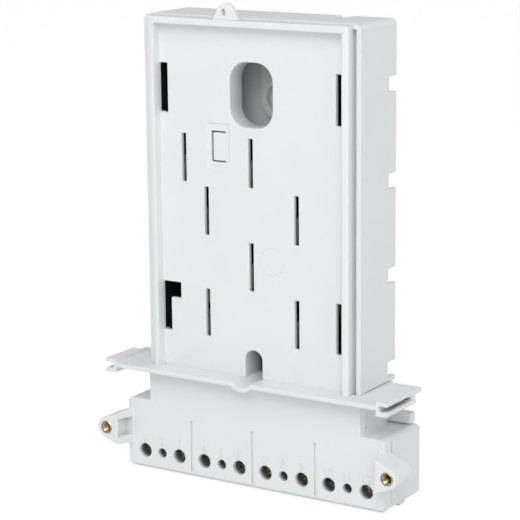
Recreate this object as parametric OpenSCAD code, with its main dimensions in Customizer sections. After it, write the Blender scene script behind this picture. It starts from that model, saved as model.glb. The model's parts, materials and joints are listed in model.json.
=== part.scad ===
// Plug-in meter base: a wall-mounted carrier for a slide-on electricity meter, with a
// twelve-way terminal block below it. Millimetres. X runs to the right seen from the front,
// Y runs into the wall (the wall is y = 0, the front is negative), Z runs up.
// The origin is on the wall face, on the centre line, level with the two threaded inserts.

/* [Meter bay] */
// Clear width of the bay that the meter slides into
bay_w = 92; // [88:0.5:94]
// Height of the bay above the partition plate
bay_h = 150; // [146:0.5:156]
// Height of the rim in front of the bay floor
rim_h = 4.8; // [3:0.1:6]
// Thickness of the rim
rim_t = 3; // [2.4:0.1:3.2]
// Front surface of the bay floor, measured from the wall
floor_depth = 29; // [28.6:0.1:29.4]
// Thickness of the bay floor
floor_t = 2.2; // [1.8:0.1:2.4]

/* [Outer shell] */
// Wall thickness of the outer shell
shell_t = 2.1; // [1.6:0.1:2.6]
// Width of the groove between the rim and the shell lip
groove_w = 1.9; // [1.6:0.1:2.4]
// Distance from the wall to the front of the shell lip
shell_depth = 30.2; // [29.6:0.1:30.8]
// Height of the relief notches in the rear edges
notch_h = 6.4; // [4:0.2:8]
// Depth of the relief notches in the rear edges
notch_d = 6.2; // [4:0.2:8]

/* [Contact slots] */
// Width of a blade slot
slot_w = 2.2; // [1.8:0.1:2.6]
// Height of a blade slot
slot_h = 21; // [18:0.5:22]
// Half pitch of the slot columns
slot_dx = 11.2; // [11:0.1:11.4]
// Pitch of the slot rows
slot_dz = 22.3; // [22:0.1:22.6]

/* [Terminal block] */
// Width of the terminal block
block_w = 130.2; // [128:0.2:132]
// Distance from the wall to the front face of the block
block_depth = 31.2; // [31:0.1:31.4]
// Pitch of the four terminal groups
group_dx = 31.5; // [31.3:0.1:31.7]
// Offset of the outer terminals from the middle of a group
pole_dx = 9.1; // [9:0.1:9.2]
// Diameter of the holes over the main screws
main_hole_d = 6.3; // [5.8:0.1:6.5]
// Diameter of the holes over the auxiliary screws
aux_hole_d = 4.3; // [3.8:0.1:4.5]
// Spacing of the two threaded inserts
insert_dx = 142; // [141:0.5:143]

/* [Partition plate] */
// Distance from the wall to the front edge of the plate
plate_depth = 39.7; // [38.5:0.1:40]
// Thickness of the plate
plate_t = 2; // [1.6:0.1:2.4]
// Overall width across the side channels
plate_w = 142; // [140:0.5:144]

/* [Fixings] */
// Diameter of the two wall fixing holes
fixing_d = 6.5; // [5.5:0.1:7]
// Height of the upper fixing hole
fixing_top_z = 147.7; // [147:0.1:149]
// Height of the lower fixing hole
fixing_low_z = 35.6; // [35:0.1:36.5]

/* [Hidden] */
$fn = 48;
eps = 0.01;            // overlap that keeps a cut clear of the face it leaves
gap = 0.3;             // clearance between neighbouring pieces

// Levels and planes
plate_top = 30.3;                       // upper surface of the partition plate
plate_low = plate_top - plate_t;
bay_top = plate_top + bay_h;            // inner edge of the rim across the top
rim_top = bay_top + rim_t;
shell_top = rim_top + 0.6;
floor_y = -floor_depth;
rim_y = floor_y - rim_h;
shell_y = -shell_depth;
block_y = -block_depth;
plate_y = -plate_depth;
ear_y = -40.3;                          // front face of the two ears
seam_y = -25;                           // split between the two halves of the block
back_y = -4.2;                          // front surface of the shell's rear wall
back_t = 2;

// Half widths
bay_x = bay_w / 2;
rim_x = bay_x + rim_t;
lip_x = rim_x + groove_w;               // inner face of the shell wall
shell_x = lip_x + shell_t;
flange_x = lip_x - gap;                 // edge of the panel's rear flange
block_x = block_w / 2;
neck_x = 53.3;
neck_wall = 2;
insert_x = insert_dx / 2;

// Terminal block levels
block_top = 13;
block_low = -18.6;
block_r = 2.2;                          // round corners of the block seen from the front
screw_z = -10.7;                        // height of the row of terminal screws
chamber_low = -15.2;
chamber_top = -5.5;
block_wall = 2.5;
BLOCK_SCREWS = [-61.5, 0, 61.5];
block_screw_z = 8.8;
pillar_d = 4.8;
seat_d = 7.4;          // wide foot of a pillar, round the head of its screw
seat_y = -5;
groove_top = 6.7;
groove_low = -16.8;

// Rear housing details
flange_t = 2;
flange_top = shell_top - shell_t - gap;
panel_low = plate_top + 0.2;
flange_y = floor_y + floor_t;           // rear surface of the bay floor
flange_back = flange_y + flange_t;      // rear surface of the panel's flange
boss_y = -6.6;                          // front of the boss round the upper fixing
shell_r = 2.6;                          // round top corners of the shell
rim_r = 1.6;                            // round top corners of the rim
rib_gap = 0.3;                          // the ribs stop this short of the wall
pillar_r = 3.1;
CARRIER_SCREWS = [[47.2, 38], [47.2, 104], [36, rim_top - 6.6]];
POSTS = [[-46, 58], [46, 58], [-46, 126], [46, 126]];
NOTCH_Z = [for (k = [0:3]) 35.8 + k * 40.45];
NOTCH_X = [-30, 30];

// Arched window over the lower fixing, and the sleeve behind it
arch_half = 4.3;
arch_mid = 38;         // centre of its round top
arch_wall = 1.2;
arch_back = -16.5;     // rear end of the sleeve

// Contact slots as [column in half pitches, row]
slot_x0 = -0.7;
slot_z0 = 56.2;
SLOTS = [[-3, 3], [0, 3], [-2, 2], [2, 2], [0, 1], [-2, 0], [2, 0]];
hook_in = 41.5;         // inner edge of a hook window, from the slots' centre line
hook_lip = 1.1;
hook_pocket_x = 48.8;
HOOKS_Z = [[46, 67.8], [142, 163.2]];
function slot_x(s) = slot_x0 + s[0] * slot_dx;
function slot_z(s) = slot_z0 + s[1] * slot_dz;

// Terminal positions, left to right
GROUPS = [for (g = [0:3]) (g - 1.5) * group_dx];
MAINS = [for (x = GROUPS, s = [-1, 1]) x + s * pole_dx];

// Main clamps: the screw turns in place and draws its cage forward
head_y = -26.8;        // front of the screw heads
head_l = 2.6;
head_slot_depth = 1.2;
main_head_d = 7;
main_shank_d = 4.9;
main_cage_x = 4.4;
main_cage_wall = 1;
main_cage_y0 = -18;
main_cage_y1 = -2.8;
main_cage_front = 2.5;
main_cage_back = 1.9;
main_wire_d = 7.5;
main_wire_y = -7.6;

// Auxiliary clamps
aux_head_d = 4.9;
aux_shank_d = 3.4;
aux_cage_x = 2.6;
aux_cage_wall = 0.8;
aux_cage_y1 = -6.4;
aux_cage_back = 1.5;
aux_wire_d = 3.8;
aux_wire_y = -9.6;

cage_low = screw_z - 4;
cage_top = screw_z + 4;
screw_tip_y = -13.4;
thread_gap = 0.06;     // radial play of a screw in its cage
head_gap = 0.7;        // radial room of a main screw head in its tube
aux_head_gap = 0.3;
tube_wall = 1;

// Conductors: flat bars, all in one plane
bar_y = -13;
bar_t = 1.8;
bar_w = 5;
bar_low = -13.5;
bar_half = bar_w / 2;
tongue_half = 2.9;     // half width of a bar inside a main cage
tap_half = 1.5;        // half width of a bar inside an auxiliary cage
link_z = 5;            // lower edge of the upper links in the block
carrier_back = -9.4;   // rear surface of the contact carrier
tray_top = 168;        // upper edge of the contact carrier
tray_front = -24.4;    // front edges of its side walls

// Contact jaws, behind the lower half of each slot
jaw_y = -26;
jaw_h = 11.3;
jaw_gap = 1.7;
jaw_leaf = 0.8;
jaw_base = 1;
spring_t = 0.5;

// Trough of the plate, which guides a screwdriver to the lower fixing
trough_r = 5.7;
trough_t = 1.8;
trough_z = plate_top + 3.5;

// Ears
ear_r = 4.7;
ear_half = 8.2;        // half height at the root
ear_back = -27;
ear_edge = 0.3;        // from the side of the block to the inner edge of the front face
ear_root = 2.4;        // the ear runs on this far across the front of the block
ear_pocket_top = 4;
ear_pocket_low = -4.2;
insert_od = 5.8;
insert_bore = 4.2;
insert_l = 8;

// Latch tongue
tongue_x0 = -19.6;     // free end
tongue_x1 = -13.6;     // axis of the root bead
tongue_z = 129;
tongue_h = 12;
tongue_t = 1.6;
tongue_bead_r = 0.8;
tongue_cut = 0.6;      // width of the cuts above and below the tongue
tongue_end_cut = 0.9;  // width of the cut at its free end
recess_t = 0.6;
tongue_y = floor_y + recess_t;
tongue_axis_y = tongue_y + tongue_bead_r;

// Self-tapping assembly screws
tap_head_d = 5;
tap_head_h = 1.6;
tap_d = 2.8;

// ---------- helpers ----------

// A block between two corners
module slab(x0, x1, y0, y1, z0, z1) {
  translate([x0, y0, z0]) cube([x1 - x0, y1 - y0, z1 - z0]);
}

// The same block on both sides of the centre line
module slab_pair(x0, x1, y0, y1, z0, z1) {
  slab(x0, x1, y0, y1, z0, z1);
  slab(-x1, -x0, y0, y1, z0, z1);
}

// A round bar or bore along Y
module rod_y(x, z, d, y0, y1) {
  translate([x, y0, z]) rotate([-90, 0, 0]) cylinder(d = d, h = y1 - y0);
}

// A round bar or bore along Z
module rod_z(x, y, d, z0, z1) {
  translate([x, y, z0]) cylinder(d = d, h = z1 - z0);
}

// Extrudes an outline drawn in X and Z from y0 to y1
module plate_xz(y0, y1) {
  translate([0, y1, 0]) rotate([90, 0, 0]) linear_extrude(y1 - y0) children();
}

// A rectangle with round corners
module round_rect(x0, x1, z0, z1, r) {
  translate([x0 + r, z0]) square([x1 - x0 - 2 * r, z1 - z0]);
  translate([x0, z0 + r]) square([x1 - x0, z1 - z0 - 2 * r]);
  for (x = [x0 + r, x1 - r], z = [z0 + r, z1 - r]) translate([x, z]) circle(r);
}

// A rectangle on the centre line with round top corners
module top_round(half, z0, z1, r) {
  translate([-half, z0]) square([2 * half, z1 - z0 - r]);
  translate([-half + r, z0]) square([2 * (half - r), z1 - z0]);
  for (x = [-half + r, half - r]) translate([x, z1 - r]) circle(r);
}

// ---------- outer shell ----------

// Tall round-ended boss round the upper fixing
module upper_boss() {
  half = 9.5;
  plate_xz(boss_y, 0) round_rect(-half, half, fixing_top_z - half, fixing_top_z + 21, half - eps);
}

// Low pad round the lower fixing
module lower_boss() {
  plate_xz(back_y, 0) round_rect(-8, 8, fixing_low_z - 5.2, fixing_low_z + 9, 4);
}

// Stiffening ribs on the wall side
module back_ribs() {
  rib = 1.6;
  for (x = [-26, 26]) slab(x - rib / 2, x + rib / 2, back_y + eps, -rib_gap, plate_top, shell_top - 1);
  for (z = [62, 92, 122]) slab(-lip_x, lip_x, back_y + eps, -rib_gap, z - rib / 2, z + rib / 2);
}

module rear_notches() {
  depth_x = 4.6;
  for (z = NOTCH_Z, s = [-1, 1])
    slab(s > 0 ? shell_x - depth_x : -shell_x - eps, s > 0 ? shell_x + eps : -shell_x + depth_x,
         -notch_d, eps, z - notch_h / 2, z + notch_h / 2);
  for (x = NOTCH_X)
    slab(x - 2.8, x + 2.8, -notch_d, eps, shell_top - depth_x, shell_top + eps);
}

module rear_housing() color([0.86, 0.88, 0.88]) difference() {
  union() {
    // side walls, top wall and rear wall
    intersection() {
      union() {
        slab_pair(lip_x, shell_x, shell_y, 0, plate_top, shell_top);
        slab(-shell_x, shell_x, flange_y + gap, 0, shell_top - shell_t, shell_top);
        slab_pair(rim_x + gap, shell_x, shell_y, 0, shell_top - shell_t, shell_top);
        slab(-shell_x, shell_x, back_y, back_y + back_t, plate_top, shell_top);
      }
      plate_xz(shell_y - 1, 1) top_round(shell_x, plate_top - 1, shell_top, shell_r);
    }
    // apron behind the neck, with a wing over each shoulder of the block
    slab(-neck_x, neck_x, -6.9, -2.3, block_top + 0.8, plate_top);
    slab(-64, 64, -6.9, -2.3, block_top + 0.8, block_top + 5.3);
    upper_boss();
    lower_boss();
    back_ribs();
    // pillars for the panel screws
    for (p = CARRIER_SCREWS, s = [-1, 1])
      rod_y(s * p[0], p[1], 2 * pillar_r, flange_back + 0.1, back_y + back_t);
    // short posts that the contact carrier stands on
    for (p = POSTS) rod_y(p[0], p[1], 5, carrier_back, back_y + back_t);
  }
  rear_notches();
  rod_y(0, fixing_top_z, fixing_d, boss_y - 1, eps);
  rod_y(0, fixing_top_z, 13, boss_y - 1, -3.2);
  rod_y(0, fixing_low_z, fixing_d, boss_y - 1, eps);
  for (p = CARRIER_SCREWS, s = [-1, 1]) {
    rod_y(s * p[0], p[1], tap_d + 0.4, flange_back - eps, eps);
    rod_y(s * p[0], p[1], tap_head_d + 0.5, back_y + back_t - tap_head_h - 0.2, eps);
  }
  for (p = POSTS) rod_y(p[0], p[1], tap_d, carrier_back - eps, -2.8);
  // shadow line along the foot of each side wall
  slab_pair(shell_x - 0.8, shell_x + eps, -26, -1.6, plate_top - eps, plate_top + 0.3);
}

// ---------- carrier panel ----------

module blade_slots() {
  for (s = SLOTS)
    slab(slot_x(s) - slot_w / 2, slot_x(s) + slot_w / 2, floor_y - 1, flange_back + 1,
         slot_z(s) - slot_h / 2, slot_z(s) + slot_h / 2);
}

// One hook window, with a pocket behind it that thins the floor to a lip
module hook_window(x0, x1, z0, z1) {
  pocket_x0 = x0 < 0 ? -hook_pocket_x : x0;
  pocket_x1 = x0 < 0 ? x1 : hook_pocket_x;
  slab(x0, x1, floor_y - 1, flange_back + 1, z0, z1);
  slab(pocket_x0, pocket_x1, floor_y + hook_lip, flange_back + 1, z0, z1);
}

module hook_windows() {
  for (z = HOOKS_Z) {
    hook_window(-bay_x, slot_x0 - hook_in, z[0], z[1]);
    hook_window(slot_x0 + hook_in, bay_x, z[0], z[1]);
  }
  // the lower left window has a wide head
  hook_window(-bay_x, -37.1, HOOKS_Z[0][1] - 7, HOOKS_Z[0][1]);
}

module sleeve(w, z0, z1, r, y1) {
  wall = 1.6;
  plate_xz(floor_y, y1) difference() {
    round_rect(-w / 2 - wall, w / 2 + wall, z0 - wall, z1 + wall, r + wall);
    round_rect(-w / 2, w / 2, z0, z1, r);
  }
}

// Outline of the arched window, made wider all round
module arch(extra) {
  half = arch_half + extra;
  translate([-half, panel_low]) square([2 * half, arch_mid - panel_low]);
  translate([0, arch_mid]) circle(half);
}

// Eye for a seal wire, on top of the rim
module seal_lug() {
  x = -9.6;
  y0 = rim_y + 0.2;
  r = 4.3;
  base = 6.2;
  z = rim_top + 2.5;
  // the flanks lean in and meet the round top
  lean = 20;
  plate_xz(y0, y0 + 3) difference() {
    union() {
      translate([x, z]) circle(r);
      polygon([[x - base, rim_top - 0.6], [x + base, rim_top - 0.6],
               [x + r * cos(lean), z + r * sin(lean)], [x - r * cos(lean), z + r * sin(lean)]]);
    }
    translate([x - 1.6, rim_top + 1.6]) square([1.8, 2.8]);
  }
}

module tongue_opening() {
  z0 = tongue_z - tongue_h / 2 - tongue_cut;
  z1 = tongue_z + tongue_h / 2 + tongue_cut;
  x0 = tongue_x0 - tongue_end_cut;
  // shallow recess round the tongue
  slab(-21.9, -11.2, floor_y - 1, floor_y + recess_t, 119.6, 139);
  // cut round three sides of the tongue
  slab(x0, tongue_x1 + 0.3, floor_y - 1, flange_back + 1, z0, z1);
  // socket of the root bead
  rod_z(tongue_x1, tongue_axis_y, 2 * (tongue_bead_r + thread_gap), z0, z1);
  // room behind the root
  slab(x0, tongue_x1 + 2, tongue_axis_y + 0.5, flange_back + 1, z0, z1);
}

module carrier_panel() color([0.9, 0.92, 0.92]) difference() {
  union() {
    slab(-bay_x - 1, bay_x + 1, floor_y, flange_y, panel_low, bay_top + 1);
    // rim on three sides
    plate_xz(rim_y, flange_y) difference() {
      top_round(rim_x, panel_low, rim_top, rim_r);
      translate([-bay_x, panel_low - 1]) square([bay_w, bay_top - panel_low + 1]);
    }
    slab_pair(bay_x, flange_x, flange_y - eps, flange_back, panel_low, flange_top);
    slab(-flange_x, flange_x, flange_y - eps, flange_back, flange_top - 10, flange_top);
    seal_lug();
    sleeve(21, 138.2, 165.6, 8, -19.4);
    plate_xz(floor_y, arch_back) arch(arch_wall);
  }
  rim_bevel();
  blade_slots();
  hook_windows();
  tongue_opening();
  // window over the upper fixing
  plate_xz(floor_y - 1, flange_back + 1) round_rect(-10.5, 10.5, 138.2, 165.6, 8);
  // arched window over the lower fixing, open at the foot
  plate_xz(floor_y - 1, arch_back + 1) translate([0, -eps]) arch(0);
  // blank ring moulded in the floor
  ring_r = 6;
  plate_xz(floor_y - eps, floor_y + 0.25) translate([9.7, 82]) difference() {
    circle(ring_r);
    circle(ring_r - 0.35);
  }
  // pip beside the latch
  rod_y(-11.2, 134.2, 2.6, floor_y - 1, floor_y + 0.25);
  // pilot holes for the panel screws, blind from behind
  for (p = CARRIER_SCREWS, s = [-1, 1])
    rod_y(s * p[0], p[1], tap_d, floor_y + 0.8, flange_back + 1);
}

// Slope on the outer part of the rim's front face
module rim_bevel() {
  wide = 1.5;
  low = 0.45;
  section = [[0, -low], [0, 1], [-wide - 0.2, 1], [-wide, 0]];
  for (k = [0, 1]) mirror([k, 0, 0]) translate([rim_x, rim_y, panel_low - 1])
    linear_extrude(rim_top + 2 - panel_low) mirror([0, 1, 0]) polygon(section);
}

module latch_tongue() color([0.9, 0.92, 0.92]) {
  z0 = tongue_z - tongue_h / 2;
  z1 = tongue_z + tongue_h / 2;
  slab(tongue_x0, tongue_x1, tongue_y, tongue_y + tongue_t, z0, z1);
  rod_z(tongue_x1, tongue_axis_y, 2 * tongue_bead_r, z0, z1);
  // stiffening rib behind the free end
  slab(tongue_x0, tongue_x0 + 1.4, tongue_y + tongue_t - eps, tongue_y + tongue_t + 1, z0 + 2, z1 - 2);
}

// ---------- partition plate ----------

// Rail along one side edge, open outwards
module channel(s) {
  rail_end = -18.5;
  web_x = plate_w / 2 - 4.2;
  tip_x = plate_w / 2;
  module run(x0, x1, y1, z0, z1) {
    slab(min(s * x0, s * x1), max(s * x0, s * x1), plate_y, y1, z0, z1);
  }
  run(web_x - 1.4, web_x, rail_end + 4, 25.8, plate_top + 1.7);
  run(web_x - 1.4, tip_x, rail_end, plate_top, plate_top + 1.7);
  run(web_x - 1.4, tip_x - 1, rail_end + 4, 25.8, 27.8);
  translate([s * (tip_x - 1), plate_y, 26.8]) rotate([-90, 0, 0])
    cylinder(r = 1, h = rail_end + 4 - plate_y);
}

module partition_plate() color([0.88, 0.9, 0.9]) difference() {
  union() {
    difference() {
      union() {
        slab(-66, 66, plate_y, -7.2, plate_low, plate_top);
        slab_pair(neck_x + 0.4, 68.5, -17.9, -5, plate_low, plate_top);
        slab_pair(62, 68.5, -15.3, -10.5, 26.5, plate_top);
        for (s = [-1, 1]) channel(s);
      }
      // opening that the conductors rise through
      slab(-48, 48, -23.5, -8.6, plate_low - 1, plate_top + 1);
    }
    // half-round trough that guides a screwdriver to the lower fixing
    translate([0, plate_y, trough_z]) rotate([-90, 0, 0])
      cylinder(r = trough_r + trough_t, h = arch_back - plate_y);
  }
  translate([0, plate_y - 1, trough_z]) rotate([-90, 0, 0]) cylinder(r = trough_r, h = 40);
  slab(-20, 20, plate_y - 1, arch_back + 1, plate_top, plate_top + 20);
}

// ---------- terminal block ----------

// Outline of an ear in X and Z, tapering from the block to the insert
module ear_outline() {
  px = block_x - ear_root - insert_x;
  reach = norm([px, ear_half]);
  a = atan2(ear_half, px) - acos(ear_r / reach);
  translate([insert_x, 0]) {
    circle(ear_r);
    polygon([[px, -ear_half], [ear_r * cos(a), -ear_r * sin(a)],
             [ear_r * cos(a), ear_r * sin(a)], [px, ear_half]]);
  }
}

// Plan of an ear in X and Y: its inner side slopes back to the front of the block
module ear_plan() {
  far = insert_x + ear_r + 1;
  polygon([[far, ear_y], [block_x + ear_edge, ear_y], [block_x - ear_root, block_y],
           [block_x - ear_root, block_y + 1], [block_x - 1, block_y + 1],
           [block_x - 1, ear_back], [far, ear_back]]);
}

module ear(s) {
  mirror([s < 0 ? 1 : 0, 0, 0]) difference() {
    intersection() {
      plate_xz(ear_y, ear_back) ear_outline();
      translate([0, 0, -ear_half - 1]) linear_extrude(2 * ear_half + 2) ear_plan();
    }
    // shallow pocket in the inner side
    slab(block_x - ear_root - 1, block_x + 1.8, ear_y + 1.2, block_y - eps, ear_pocket_low, ear_pocket_top);
  }
}

module divider_grooves() {
  for (g = [-1:1])
    slab(g * group_dx - 0.45, g * group_dx + 0.45, block_y - 1, block_y + 1, groove_low, groove_top);
}

// A rectangle in Y and Z with one round corner, at its low or high Y and Z
module corner_rect(y0, y1, z0, z1, r, at_y1, at_z1) {
  cy = at_y1 ? y1 - r : y0 + r;
  cz = at_z1 ? z1 - r : z0 + r;
  translate([at_y1 ? y0 : y0 + r, z0]) square([y1 - y0 - r, z1 - z0]);
  translate([y0, at_z1 ? z0 : z0 + r]) square([y1 - y0, z1 - z0 - r]);
  translate([cy, cz]) circle(r);
}

// Body of the block: its front outline, and its side outline drawn in Y and Z
module block_body() {
  intersection() {
    plate_xz(block_y, 0) round_rect(-block_x, block_x, block_low, block_top, block_r);
    translate([-block_x - 1, 0, 0]) rotate([90, 0, 90]) linear_extrude(2 * block_x + 2) children();
  }
}

// Guide tube around a screw head
module head_tube(x, bore) {
  rod_y(x, screw_z, bore + 2 * tube_wall, block_y + 1, seam_y);
}

module terminal_block_front() color([0.88, 0.9, 0.9]) difference() {
  wall_y = block_y + block_wall;
  union() {
    difference() {
      union() {
        block_body() corner_rect(block_y, seam_y, block_low, block_top, 1.8, false, false);
        slab(-neck_x, neck_x, block_y, seam_y, block_top - 1, plate_low);
      }
      slab(-block_x + neck_wall, block_x - neck_wall, wall_y, seam_y + 1, block_low + 2, block_top - 2);
      slab(-neck_x + neck_wall, neck_x - neck_wall, wall_y, seam_y + 1, block_top - 3, plate_low + 1);
    }
    for (x = MAINS) head_tube(x, main_head_d + 2 * head_gap);
    for (x = GROUPS) head_tube(x, aux_head_d + 2 * aux_head_gap);
    for (s = [-1, 1]) ear(s);
    // screw pillars
    for (x = BLOCK_SCREWS) rod_y(x, block_screw_z, pillar_d, wall_y - 1, seam_y);
  }
  for (x = MAINS) {
    rod_y(x, screw_z, main_hole_d, block_y - 1, seam_y + 1);
    rod_y(x, screw_z, main_head_d + 2 * head_gap, wall_y, seam_y + 1);
  }
  for (x = GROUPS) {
    rod_y(x, screw_z, aux_hole_d, block_y - 1, seam_y + 1);
    rod_y(x, screw_z, aux_head_d + 2 * aux_head_gap, wall_y, seam_y + 1);
  }
  divider_grooves();
  for (s = [-1, 1]) rod_y(s * insert_x, 0, insert_od, ear_y - 1, ear_y + insert_l);
  for (x = BLOCK_SCREWS) rod_y(x, block_screw_z, tap_d, wall_y, seam_y + 1);
  // vent pips in the sides of the neck
  for (s = [-1, 1]) translate([s * neck_x, -25.8, 15.5]) rotate([0, 90, 0])
    cylinder(d = 1, h = 1, center = true);
  // room for the trough of the plate
  translate([0, plate_y, trough_z]) rotate([-90, 0, 0]) cylinder(r = trough_r + trough_t + 0.1, h = 40);
}

module terminal_block_rear() color([0.85, 0.87, 0.87]) difference() {
  line_w = 0.35;
  line_d = 0.25;
  union() {
    block_body() corner_rect(seam_y, 0, block_low, block_top, 3, true, true);
    slab(-neck_x, neck_x, seam_y, -7.2, block_top - 1, plate_low);
    // small feet under the side walls
    slab_pair(block_x - 2.2, block_x - 0.1, -18, -13, block_low - 0.5, block_low + 1);
  }
  // shadow line along the seam, on both sides
  slab_pair(block_x - line_d, block_x + eps, seam_y - eps, seam_y + line_w, block_low - 1, block_top + 1);
  difference() {
    // cavity above the clamps
    union() {
      slab(-block_x + block_wall, block_x - block_wall, seam_y - 1, -2.5, chamber_top, block_top - 2);
      slab(-neck_x + neck_wall, neck_x - neck_wall, seam_y - 1, -9.2, chamber_top, plate_low + 1);
    }
    for (x = BLOCK_SCREWS) {
      rod_y(x, block_screw_z, pillar_d, seam_y, -2);
      rod_y(x, block_screw_z, seat_d, seat_y, -2);
    }
  }
  for (x = MAINS) {
    slab(x - main_cage_x - 0.45, x + main_cage_x + 0.45, seam_y - 1, -2.2, chamber_low, chamber_top + eps);
    rod_z(x, main_wire_y, main_wire_d, block_low - 1, chamber_low + 1);
  }
  for (x = GROUPS) {
    slab(x - aux_cage_x - 0.45, x + aux_cage_x + 0.45, seam_y - 1, -5.8, chamber_low, chamber_top + eps);
    rod_z(x, aux_wire_y, aux_wire_d, block_low - 1, chamber_low + 1);
  }
  for (x = BLOCK_SCREWS) {
    rod_y(x, block_screw_z, tap_d + 0.4, seam_y - 1, 1);
    rod_y(x, block_screw_z, tap_head_d + 0.5, -3, 1);
  }
  // seat for the wings of the rear housing
  slab(-neck_x, neck_x, -7.2, 1, block_top - 0.5, block_top + 1);
}

// ---------- conductors ----------

module contact_carrier() color([0.32, 0.34, 0.36]) difference() {
  y0 = bar_y + bar_t;
  union() {
    slab(-48.5, 48.5, y0, carrier_back, plate_top + 2, tray_top);
    // side walls behind the hook windows
    slab_pair(48.5 - eps, 50.4, tray_front, carrier_back, plate_top + 2, tray_top);
    // cheeks on both sides of each jaw
    for (s = SLOTS, k = [-1, 1])
      slab(slot_x(s) + k * 4.4 - 0.6, slot_x(s) + k * 4.4 + 0.6, -21, y0 + eps,
           slot_z(s) - slot_h / 2 - 1, slot_z(s) - slot_h / 2 + jaw_h + 1);
  }
  // the conductors pass under the cheeks
  slab(-48.9, 48.9, bar_y - 0.2, y0, plate_top, 140);
  // access to the two fixings
  rod_y(0, fixing_low_z, 13, -30, 0);
  slab(-30, 30, -30, 0, 131, tray_top + 1);
  // clear of the pillars, and holes over the posts
  for (p = CARRIER_SCREWS, s = [-1, 1]) rod_y(s * p[0], p[1], 2 * pillar_r + 0.8, -30, 0);
  for (p = POSTS) rod_y(p[0], p[1], tap_d + 0.4, -30, 0);
}

// A flat bar in the conductor plane
module bar(x0, x1, z0, z1) {
  slab(min(x0, x1), max(x0, x1), bar_y, bar_y + bar_t, z0, z1);
}

// Bar tongue inside a main cage, and inside an auxiliary cage
module main_tongue(i, top) {
  bar(MAINS[i] - tongue_half, MAINS[i] + tongue_half, bar_low, top);
}

module aux_tongue(i) {
  bar(GROUPS[i] - tap_half, GROUPS[i] + tap_half, bar_low, link_z + bar_w);
}

// Run up the housing at x from z0, cross link and pad behind slot s
module riser(s, x, z0) {
  zj = slot_z(s) - slot_h / 2;
  xj = slot_x(s);
  bar(x - bar_half, x + bar_half, z0, zj + bar_w);
  bar(min(x, xj) - bar_half, max(x, xj) + bar_half, zj, zj + bar_w);
  bar(xj - 3, xj + 3, zj, zj + jaw_h);
}

// Conductor from main terminal i to slot s through a riser at x
module conductor(s, i, x) {
  foot = -1;
  main_tongue(i, foot + bar_w);
  bar(min(MAINS[i], x) - bar_half, max(MAINS[i], x) + bar_half, foot, foot + bar_w);
  riser(s, x, foot);
}

// Link from auxiliary terminal i to the riser at x
module tap(i, x) {
  aux_tongue(i);
  bar(min(GROUPS[i], x) - tap_half, max(GROUPS[i], x) + tap_half, link_z, link_z + bar_w);
}

copper = [0.78, 0.5, 0.3];

module busbar_l1_line() color(copper) {
  riser_x = -41;
  main_tongue(0, link_z + 1);
  aux_tongue(0);
  bar(MAINS[0] - 1, riser_x + bar_half, link_z, link_z + bar_w);
  riser(SLOTS[0], riser_x, link_z);
}

module busbar_l1_load() color(copper) conductor(SLOTS[2], 1, -33);

module busbar_l2_line() color(copper) {
  conductor(SLOTS[5], 2, -23.1);
  tap(1, -23.1);
}

module busbar_l2_load() color(copper) conductor(SLOTS[4], 3, -9.5);

module busbar_l3_line() color(copper) {
  conductor(SLOTS[1], 4, 9.5);
  tap(2, 9.5);
}

module busbar_l3_load() color(copper) conductor(SLOTS[6], 5, 21.7);

module busbar_neutral() color(copper) {
  riser_x = 33;
  conductor(SLOTS[3], 6, riser_x);
  main_tongue(7, link_z + 1);
  aux_tongue(3);
  bar(riser_x, MAINS[7] + 1, link_z, link_z + bar_w);
}

// Forked contact that grips a meter blade: two leaves on a base, with flared lips
module jaw(s) color([0.82, 0.66, 0.34]) {
  x = slot_x(s);
  z0 = slot_z(s) - slot_h / 2;
  inner = jaw_gap / 2;
  outer = inner + jaw_leaf;
  pinch = 0.35;
  flare = 0.5;
  throat_y = jaw_y + 1.5;
  leaf_y = jaw_y + 3.5;
  base_y = bar_y - jaw_base;
  translate([x, 0, z0]) {
    for (k = [0, 1]) mirror([k, 0, 0]) linear_extrude(jaw_h)
      polygon([[0, base_y], [0, bar_y], [outer, bar_y], [outer, leaf_y],
               [outer - pinch, throat_y], [outer + flare, jaw_y], [inner + flare, jaw_y],
               [inner - pinch, throat_y], [inner, leaf_y], [inner, base_y]]);
  }
}

// Steel spring that squeezes a jaw, open at the front
module jaw_spring(s) {
  outer = jaw_gap / 2 + jaw_leaf;
  z0 = slot_z(s) - slot_h / 2;
  for (k = [-1, 1]) {
    x = slot_x(s) + k * (outer + spring_t / 2);
    slab(x - spring_t / 2, x + spring_t / 2, jaw_y + 3.5, bar_y, z0 + 2, z0 + jaw_h - 2);
  }
}

module jaw_springs() color([0.6, 0.62, 0.65]) for (s = SLOTS) jaw_spring(s);

// ---------- clamps ----------

// Terminal screw along Y with a slotted and crossed head
module clamp_screw(x, head_d, shank_d, slot, tone) color(tone) difference() {
  cross = head_d * 0.32;
  union() {
    rod_y(x, screw_z, head_d, head_y, head_y + head_l);
    rod_y(x, screw_z, shank_d, head_y + head_slot_depth + eps, screw_tip_y);
  }
  slab(x - head_d, x + head_d, head_y - 1, head_y + head_slot_depth, screw_z - slot / 2, screw_z + slot / 2);
  slab(x - slot / 2, x + slot / 2, head_y - 1, head_y + head_slot_depth, screw_z - cross, screw_z + cross);
}

// Clamping cage: a frame around the wire, threaded on its front wall
module clamp_cage(x, half, wall, y1, front, back, shank_d) color([0.72, 0.7, 0.62]) difference() {
  slab(x - half, x + half, main_cage_y0, y1, cage_low, cage_top);
  slab(x - half + wall, x + half - wall, main_cage_y0 + front, y1 - back, cage_low - 1, cage_top + 1);
  rod_y(x, screw_z, shank_d + 2 * thread_gap, main_cage_y0 - 1, main_cage_y0 + front + 1);
}

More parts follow.
